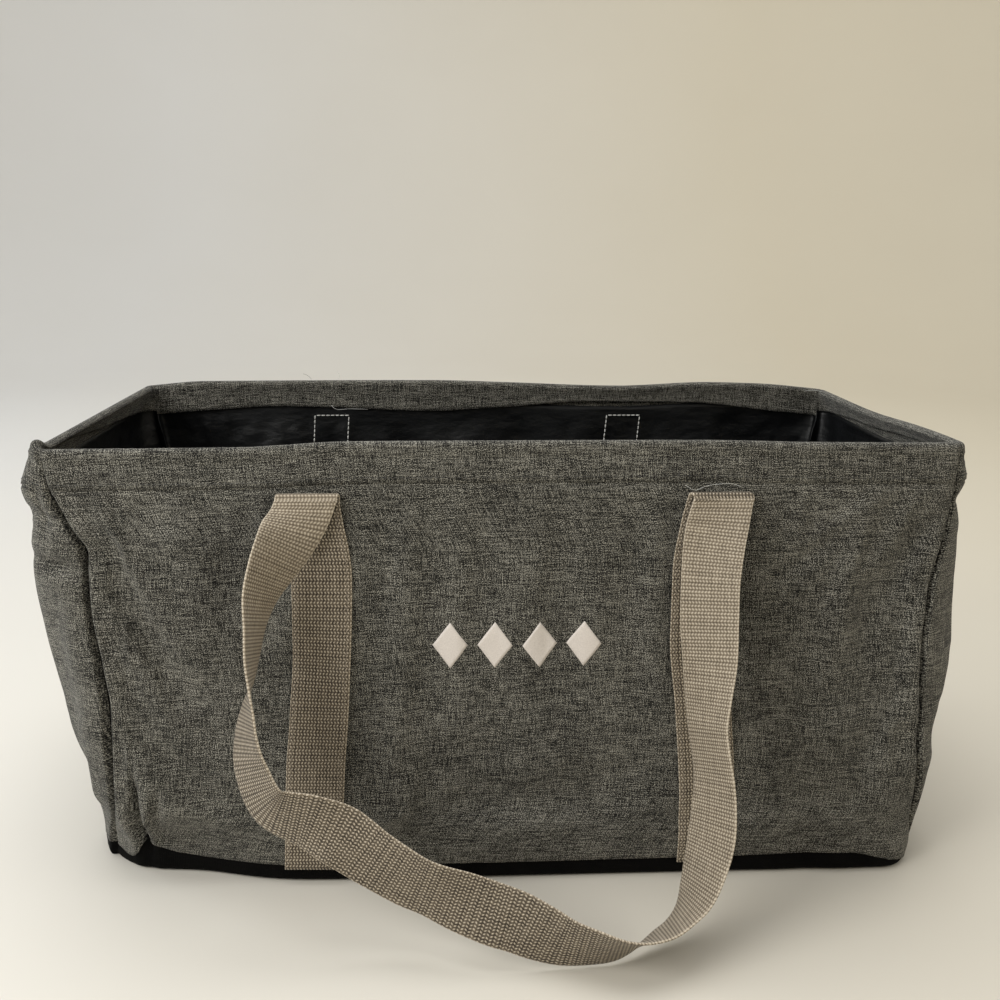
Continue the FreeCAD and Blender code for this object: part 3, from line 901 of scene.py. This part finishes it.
band_rows = [(24, 3.2), (18, 2.0), (14, 1.2), (9, 0.5), (4, 0.4), (1.8, 1.2), (0.6, 2.8), (0.1, 5.0)]
rings = [base_ring(z, inset) for z, inset in band_rows]
rings += disc_rings(base_ring(0, 6), 0.1, (0.985, 0.95, 0.85, 0.7, 0.5, 0.3, 0.1))
base = ring_piece("base_panel", rings, BLACK, band=len(band_rows))
base.data.flip_normals()
thicken(base, 0.8)
stands_for(base, "black_base_fabric", "base", "base_panel")
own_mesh(base)

lining_z = box_mm("base_lining")[1][2]
lining_rings = disc_rings(base_ring(2, 3), lining_z, (1.0, 0.98, 0.93, 0.85, 0.7, 0.5, 0.3, 0.1))
base_lining = ring_piece("base_lining", lining_rings, LINING)
thicken(base_lining, 0.5)
stands_for(base_lining, "coated_lining", "base", "base_lining")

# ---------------------------------------------------------------- base board in its sleeve


def sleeve_outline(inset):
    """Rounded rectangle of the sleeve, moved inwards by inset."""
    half_x, half_y = SLEEVE[1][0] - inset, SLEEVE[1][1] - inset
    radius = 14 - min(inset, 8)
    ring = []
    for index, (side_x, side_y) in enumerate([(-1, -1), (1, -1), (1, 1), (-1, 1)]):
        for turn in np.radians(180 + 90 * index + np.linspace(0, 90, 9)):
            ring.append((side_x * (half_x - radius) + radius * math.cos(turn),
                         side_y * (half_y - radius) + radius * math.sin(turn), 0))
    ring = np.array(ring + ring[:1])
    run = run_along(ring)
    even = np.linspace(0, run[-1], 241)[:-1]
    return np.stack([np.interp(even, run, ring[:, k]) for k in range(3)], axis=-1)


low, high = SLEEVE[0][2], SLEEVE[1][2]
middle = (low + high) / 2
edge_rows = [
    (low, 6), (low, 3), (low + 0.5, 1.2), (middle - 0.5, 0.4), (middle - 0.3, -0.2),
    (middle + 0.3, -0.2), (middle + 0.5, 0.4), (high - 0.5, 1.2), (high, 3), (high, 6),
]
rings = []
for z, inset in edge_rows:
    ring = sleeve_outline(inset)
    ring[:, 2] = z
    rings.append(ring)
rings = disc_rings(rings[0], low, (0.05, 0.4, 0.8, 0.97)) + rings
for share in (0.97, 0.9, 0.8, 0.65, 0.5, 0.35, 0.2, 0.05):
    ring = sleeve_outline(6) * share
    ring[:, 2] = high - 0.25 + 0.25 * np.sin(ring[:, 0] / 31) * np.cos(ring[:, 1] / 23)
    rings.append(ring)
sleeve = ring_piece("base_board_sleeve", rings, BLACK, capped=True)
stands_for(sleeve, "black_base_fabric", "base_insert", "base_board_sleeve")
refinish("base_board", BOARD)

# ---------------------------------------------------------------- rim

CASING_ROWS = np.array([CASING_LOW - 0.5, 264, 267, 270, 273, 275.5, 277.5, 279.5])


def facing_edge(panel, x, y):
    """Height of the facing's lower edge. The front's is the back's, turned half round."""
    if panel in ("left", "right"):
        return SIDE_FACING(y)
    return BACK_FACING(-x if panel == "front" else x)


def casing_grid(panel, shares):
    """Folded casing of one side: up the outside, over the wire and down to the facing's edge."""
    outer, normals, cloth = skin(panel, CASING_ROWS, shares)
    top, top_normals, top_cloth = skin(panel, [RIM_TOP], shares)
    normal = top_normals[0]
    distance = top_cloth[0, :, 0]
    groove_at_seam = RIM_SEAM_DEPTH * hump(from_seams(top_cloth)[0], SEAM_WIDTH)
    wire = top[0] + normal * (groove_at_seam - CASING_HALF)[:, None]
    x, y = top[0][:, 0], top[0][:, 1]
    wire[:, 2] = WIRE_Z + rim_wave(x, y)
    # A dip where the fabric leaves the wire, and a pucker over the ferrule
    groove = 0.7 * hump(CASING_ROWS - 276.5, 2.2)
    outer = outer - normals * groove[:, None, None]
    pucker = hump(x - FERRULE_X + 4, 1.8) * (panel == "front")
    outer = outer - normals * 1.3 * pucker[:, None]
    # Up the outside, then over the wire
    rows = list(outer)
    reach = CASING_HALF * (1 + 0.25 * pucker) - groove_at_seam
    for angle in np.radians([0, 25, 50, 75, 100, 125, 150, 175]):
        point = wire + normal * (reach * math.cos(angle))[:, None]
        point[:, 2] += CASING_HALF * math.sin(angle) - 0.8 * pucker
        rows.append(point)
    # Down the inside, leaning as the outside does
    lean = np.sum((outer[0] - top[0]) * normal, axis=1)
    facing = facing_edge(panel, x, y)
    for share in np.linspace(0.1, 1, 8):
        sway = 0.5 * share * np.sin(distance / 31) - 0.6 * math.sin(share * math.pi)
        point = wire - normal * (CASING_HALF + sway - lean * share)[:, None]
        point[:, 2] = wire[:, 2] + (facing - wire[:, 2]) * share
        rows.append(point)
    points = np.array(rows)
    cloth_grid = np.zeros_like(points)
    steps = np.linalg.norm(np.diff(points, axis=0), axis=2).mean(axis=1)
    run = CASING_ROWS[0] + np.concatenate([[0], np.cumsum(steps)])
    cloth_grid[..., 0] = distance
    cloth_grid[..., 1] = run[:, None]
    return points, cloth_grid, wire, normal


wire_parts = []
for panel in PANELS:
    shares = seam_shares(WALL_COLUMNS[panel])
    points, cloth, wire, normal = casing_grid(panel, shares)
    name = "rim_casing_" + panel
    casing = sheet_piece(name, points, cloth, HEATHER, WALL_THICK)
    stands_for(casing, "heather_fabric", "rim", name)
    wire_parts.append((wire[:-1], normal[:-1]))

wire = np.concatenate([part[0] for part in wire_parts])
outward = np.concatenate([part[1] for part in wire_parts])
turns = np.radians(np.arange(0, 360, 30))
section = [wire + WIRE_R * (outward * math.cos(a) + np.array([0, 0, math.sin(a)])) for a in turns]
faces = grid_faces(len(section) + 1, len(wire), closed=True)
count = len(section) * len(wire)
faces = [tuple(index % count for index in face) for face in faces]
wire_piece = new_piece("wire_frame", np.array(section), faces, None, STEEL)
stands_for(wire_piece, "spring_steel", "rim", "wire_frame")
refinish("wire_ferrule", FERRULE)

hem_lines = []
for panel in PANELS:
    shares = np.linspace(0.01, 0.99, 160)
    points, normals, cloth = skin(panel, [HEM_Z + 0.6], shares)
    hem_lines.append((points[0] + normals[0] * 0.05, normals[0]))
hem = stitches("hem_stitching", hem_lines, GREY_THREAD, length=2.6, gap=0.9, width=0.5, height=0.3)
stands_for(hem, "grey_thread", "rim", "hem_stitching")

# ---------------------------------------------------------------- straps sewn to the front and back

WEBBING_T = 1.6


def surface_of(points):
    """Search tree over a grid of points, in millimetres."""
    rows, columns = points.shape[:2]
    return BVHTree.FromPolygons(points.reshape(-1, 3).tolist(), grid_faces(rows, columns))


def turned(points):
    """Points turned half round the bag's middle: front becomes back."""
    return np.asarray(points) * (-1, -1, 1)


PLACED = {"front": np.array, "back": turned}


def wall_surface(panel):
    """Search tree of a wall's outer face, down to the ground."""
    heights = np.linspace(4, WALL_TOP, 100)
    return surface_of(hung_skin(panel, heights, seam_shares(190))[0])


SURFACES = {"front": wall_surface("front"), "back": wall_surface("back")}


def face_y(side, x, z):
    """Y of the front panel's face at a place, or of the back panel's after a half turn."""
    facing = -1 if side == "front" else 1
    hit = SURFACES[side].ray_cast(Vector((-facing * x, facing * 400, z)), Vector((0, -facing, 0)))[0]
    return -facing * hit.y


def strap_line(side, middle, low, high):
    """Middle line of a sewn strap and its across direction, lying on the wall."""
    heights = np.linspace(low, high, 110)
    centres, across = [], []
    offsets = np.linspace(-WEBBING_W / 2, WEBBING_W / 2, 9)
    for z in heights:
        x = float(middle(z))
        face = np.array([face_y(side, x + offset, z) for offset in offsets])
        slope, level = np.polyfit(offsets, face, 1)
        level += min(0, (face - slope * offsets - level).min()) - WEBBING_T / 2 - 0.25
        centres.append((x, level, z))
        across.append((-1, -slope, 0))
    # Webbing is stiffer than the wall, so it bridges the small dips
    centres = np.array(centres)
    kernel = np.ones(9) / 9
    padded = np.pad(centres[:, 1], 4, mode="edge")
    centres[:, 1] = np.minimum(np.convolve(padded, kernel, "valid"), centres[:, 1])
    return centres, np.array(across)


strap_tops = {}
SIDES = {
    "front": {"front_left_strap": LEFT_STRAP_X, "front_right_strap": RIGHT_STRAP_X},
    "back": {"back_right_strap": LEFT_STRAP_X, "back_left_strap": RIGHT_STRAP_X},
}
for side, straps in SIDES.items():
    place = PLACED[side]
    lines = []
    for name, middle in straps.items():
        centres, across = strap_line(side, middle, BAND_TOP - 2.5, STRAP_TOP)
        strap_tops[name] = centres[-1]
        strap = ribbon(name, place(centres), place(across), WEBBING, WEBBING_W, WEBBING_T)
        crumples(strap, "webbing", name)
        for edge in (-1, 1):
            line = centres + unit(across) * edge * (WEBBING_W / 2 - 3)
            line[:, 1] -= WEBBING_T / 2
            lines.append((place(line[2:-2]), place(np.tile((0.0, -1.0, 0.0), (len(line) - 4, 1)))))
    sewing = stitches(side + "_strap_stitching", lines, TAUPE_THREAD)
    crumples(sewing, "taupe_thread", side + "_strap_stitching")

# ---------------------------------------------------------------- loose loops of the handles

LEAN = math.acos((PIVOT_Z - 0.6) / LOOP_REACH)
DOWN = np.array([0, -math.sin(LEAN), -math.cos(LEAN)])
FORWARD = np.array([0, -math.cos(LEAN), math.sin(LEAN)])
PIVOT = np.array([0, -PIVOT_Y, PIVOT_Z])


def loop_line():
    """Middle line of the front loop and its across direction, towards the loop's outside."""
    route = spline([(x, down, forward, turn) for x, down, forward, turn in LOOP_ROUTE], 420)
    tangent = unit(np.gradient(route[:, :2], axis=0))
    outside = np.stack([-tangent[:, 1], tangent[:, 0]], axis=-1)
    ends = smooth_step(34, 2, route[:, 1])
    level = np.stack([np.sign(route[:, 0]), np.zeros(len(route))], axis=-1)
    outside = unit(outside * (1 - ends)[:, None] + level * ends[:, None])
    turn = np.radians(route[:, 3])[:, None]
    centres = PIVOT + route[:, :1] * (1, 0, 0) + route[:, 1:2] * DOWN + route[:, 2:3] * FORWARD
    in_plane = outside[:, :1] * (1, 0, 0) + outside[:, 1:2] * DOWN
    return centres, in_plane * np.cos(turn) + FORWARD * np.sin(turn)


def fold_line(strap_top, loop_start):
    """Middle line of the fold over a strap's top, from the wall out to the start of the loop."""
    low = np.array(strap_top) - (0, 0, 5)
    out = loop_start - strap_top
    radius = -out[1] / 2
    centre = (strap_top + loop_start) / 2
    top = max(strap_top[2], loop_start[2])
    points = [low, (low + strap_top) / 2]
    for angle in np.radians(np.linspace(0, 180, 13)):
        x = strap_top[0] + out[0] * (1 - math.cos(angle)) / 2
        points.append((x, centre[1] + radius * math.cos(angle), top - 0.3 + 0.9 * radius * math.sin(angle)))
    points.append(loop_start + 1.5 * DOWN)
    return spline(points, 40)


loop_centres, loop_across = loop_line()
for side, (left, right) in SIDES.items():
    place = PLACED[side]
    body = side + "_handle"
    node_name = body + "_webbing"
    loop = ribbon(node_name, place(loop_centres), place(loop_across), WEBBING, WEBBING_W, WEBBING_T)
    stands_for(loop, "webbing", body, node_name)
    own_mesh(loop)
    for strap_name, end, sign in ((left, 0, -1), (right, -1, 1)):
        line = fold_line(strap_tops[strap_name], loop_centres[end])
        across = np.tile((float(sign), 0.0, 0.0), (len(line), 1))
        fold = ribbon(strap_name + "_fold", place(line), place(across), WEBBING, WEBBING_W, WEBBING_T)
        middle_x = line[:, 0].mean()
        start = place(np.array([middle_x, strap_tops[strap_name][1], PIVOT_Z]))
        finish = place(np.array([middle_x, loop_centres[end][1], PIVOT_Z]))
        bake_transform(fold)

# ---------------------------------------------------------------- print, box stitches and loose threads

PRINT_COUNT = 4
print_middle = (PRINT[0] + PRINT[1]) / 2
half_height = (PRINT[1][2] - PRINT[0][2]) / 2
PRINT_PITCH = 28.0
half_width = (PRINT[1][0] - PRINT[0][0] - PRINT_PITCH * (PRINT_COUNT - 1)) / 2
points, cloth, faces = [], [], []
cells = 11
for index in range(PRINT_COUNT):
    x_middle = print_middle[0] + PRINT_PITCH * (index - (PRINT_COUNT - 1) / 2)
    first = len(points)
    for a in np.linspace(-1, 1, cells):
        for b in np.linspace(-1, 1, cells):
            x = x_middle + half_width * (a - b) / 2
            z = print_middle[2] + half_height * (a + b) / 2
            points.append((x, face_y("front", x, z) - 0.08, z))
    faces += [tuple(first + corner for corner in face) for face in grid_faces(cells, cells)]
ink = new_piece("front_print", points, faces, None, PRINT_INK)
ink.data.flip_normals()
thicken(ink, 0.12, 1.0)
crumples(ink, "white_print", "front_print")


def box_stitch_lines(side, middle):
    """Sides of the thread box behind a strap, on the lining, seen from the front or after a half turn."""
    half = (BOX_STITCHES[1][2] - BOX_STITCHES[0][2]) / 2
    left, right = middle - half, middle + half
    top = BOX_STITCHES[1][2] - 1
    bottom = top - 2 * half
    corners = [(left, top), (right, top), (right + 2, bottom), (left + 2, bottom)]
    lines = []
    for (x0, z0), (x1, z1) in zip(corners, corners[1:] + corners[:1]):
        line = []
        for t in np.linspace(0, 1, 12):
            x, z = x0 + (x1 - x0) * t, z0 + (z1 - z0) * t
            line.append((x, face_y(side, x, z) + WALL_THICK + 4.6, z))
        lines.append((line, np.tile((0.0, 1.0, 0.0), (len(line), 1))))
    return lines


for side in ("front", "back"):
    place = PLACED[side]
    lines = []
    for middle in (-110, 134) if side == "back" else (-122, 126):
        lines += [(place(line), place(normal)) for line, normal in box_stitch_lines(side, middle)]
    box = stitches(side + "_box_stitching", lines, WHITE_THREAD, length=3.4, gap=0.5, width=1.0, height=0.6)
    crumples(box, "white_thread", side + "_box_stitching")

LOOSE_THREADS = [
    [(-150, 124, 289), (-152, 123, 291.5), (-156, 121, 294)],
    [(-128, 124, 289), (-127, 125, 292), (-129, 126, 295)],
    [(-134, 119, 268), (-129, 117, 265), (-118, 117, 265.5), (-104, 117, 265)],
    [(262, 119, 280), (270, 118, 281), (277, 117, 280)],
    [(106, -131, 262), (112, -132, 259), (120, -132, 262), (134, -132, 263), (142, -131, 260)],
    [(103, -130, 271), (101, -131, 266), (104, -131.5, 262), (108, -131, 264)],
]
for index, route in enumerate(LOOSE_THREADS):
    material = GREY_THREAD if index in (0, 5) else WHITE_THREAD
    thread = tube("loose_thread_%d" % (index + 1), spline(route, 16), material, 0.11)
    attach(thread, "rim")

# ---------------------------------------------------------------- floor, light and camera


def backdrop():
    """Pale floor that curves up into a wall all round, far enough out to stay behind every view."""
    profile = [(0.0, 0.0), (0.3, 0.0), (0.8, 0.0), (1.4, 0.0), (2.2, 0.0)]
    profile += [(2.2 + 1.2 * math.sin(a), 1.2 - 1.2 * math.cos(a)) for a in np.radians(np.arange(9, 91, 9))]
    profile += [(3.4, 1.9)]
    sides = 96
    points = []
    for radius, z in profile[1:]:
        for turn in np.arange(sides) * 2 * math.pi / sides:
            points.append((radius * math.cos(turn) / MM, radius * math.sin(turn) / MM, z / MM))
    faces = grid_faces(len(profile) - 1, sides, closed=True)
    faces.append(tuple(range(sides))[::-1])
    faces = [face[::-1] for face in faces]
    made = Finish("studio_paper", Roughness=0.5, Specular_IOR_Level=0.3)
    place = made.node("TexCoord", {}).outputs["Object"]
    spots = made.node("TexNoise", {"Vector": place, "Scale": 1.3, "Detail": 3.0}).outputs[0]
    # Painted light: the paper is tinted warmer and yellower towards +X, a painted tint of the warm fill
    # lamp's light on that side.
    warm_light_share = made.scaled(made.node("SeparateXYZ", {0: place}).outputs[0], -1.0, 1.0)
    left = made.mix(spots, srgb(216, 215, 212), srgb(209, 207, 201))
    right = made.mix(spots, srgb(214, 206, 186), srgb(208, 199, 178))
    colour = made.mix(warm_light_share, left, right)
    floor = new_piece("studio_floor", points, faces, None, made.finish(colour))


def area_light(name, place, aim, size, power, colour):
    """Round soft light at a place, turned towards another, and never seen itself."""
    data = bpy.data.lights.new(name, "AREA")
    data.shape = "DISK"
    data.size = size
    data.energy = power
    data.color = colour
    light = bpy.data.objects.new(name, data)
    light.location = place
    light.visible_camera = False
    light.rotation_euler = (Vector(aim) - Vector(place)).to_track_quat("-Z", "Y").to_euler()
    bpy.context.scene.collection.objects.link(light)


def camera():
    """Camera in front of the bag, a little above it and left of its middle."""
    yaw, pitch, roll = np.radians([2.96, 14.95, 0.49])
    forward = Vector((math.sin(yaw) * math.cos(pitch), math.cos(yaw) * math.cos(pitch), -math.sin(pitch)))
    level = Vector((math.cos(yaw), -math.sin(yaw), 0))
    upward = level.cross(forward)
    right = level * math.cos(roll) + upward * math.sin(roll)
    up = upward * math.cos(roll) - level * math.sin(roll)
    data = bpy.data.cameras.new("camera")
    data.sensor_width = 36.0
    data.lens = 37.26
    data.clip_start, data.clip_end = 0.01, 50
    made = bpy.data.objects.new("camera", data)
    made.matrix_world = Matrix.Translation((-0.0377, -0.7335, 0.4143)) @ Matrix(
        (right, up, -forward)).transposed().to_4x4()
    bpy.context.scene.collection.objects.link(made)
    bpy.context.scene.camera = made


backdrop()
area_light("key", (-0.95, -0.75, 0.85), (-0.1, 0, 0.1), 0.8, 10.5, (1.0, 0.99, 0.97))
area_light("top", (-0.1, 0.4, 2.6), (0, 0.2, 0), 2.2, 40, (0.99, 0.99, 1.0))
area_light("wall", (0, 1.3, 1.9), (0, 3.4, 1.7), 1.5, 8, (1.0, 1.0, 1.0))
area_light("side", (-2.2, 0.6, 1.0), (-0.3, 0, 0.15), 1.0, 12, (0.86, 0.93, 1.0))
area_light("fill", (1.9, -1.2, 1.2), (0, 0, 0.1), 1.4, 4, (1.0, 0.93, 0.8))
world = bpy.data.worlds.new("studio")
world.use_nodes = True
world.node_tree.nodes["Background"].inputs[0].default_value = (0.9, 0.9, 0.9, 1)
world.node_tree.nodes["Background"].inputs[1].default_value = 0.6
bpy.context.scene.world = world
bpy.context.scene.view_settings.view_transform = "Standard"
camera()
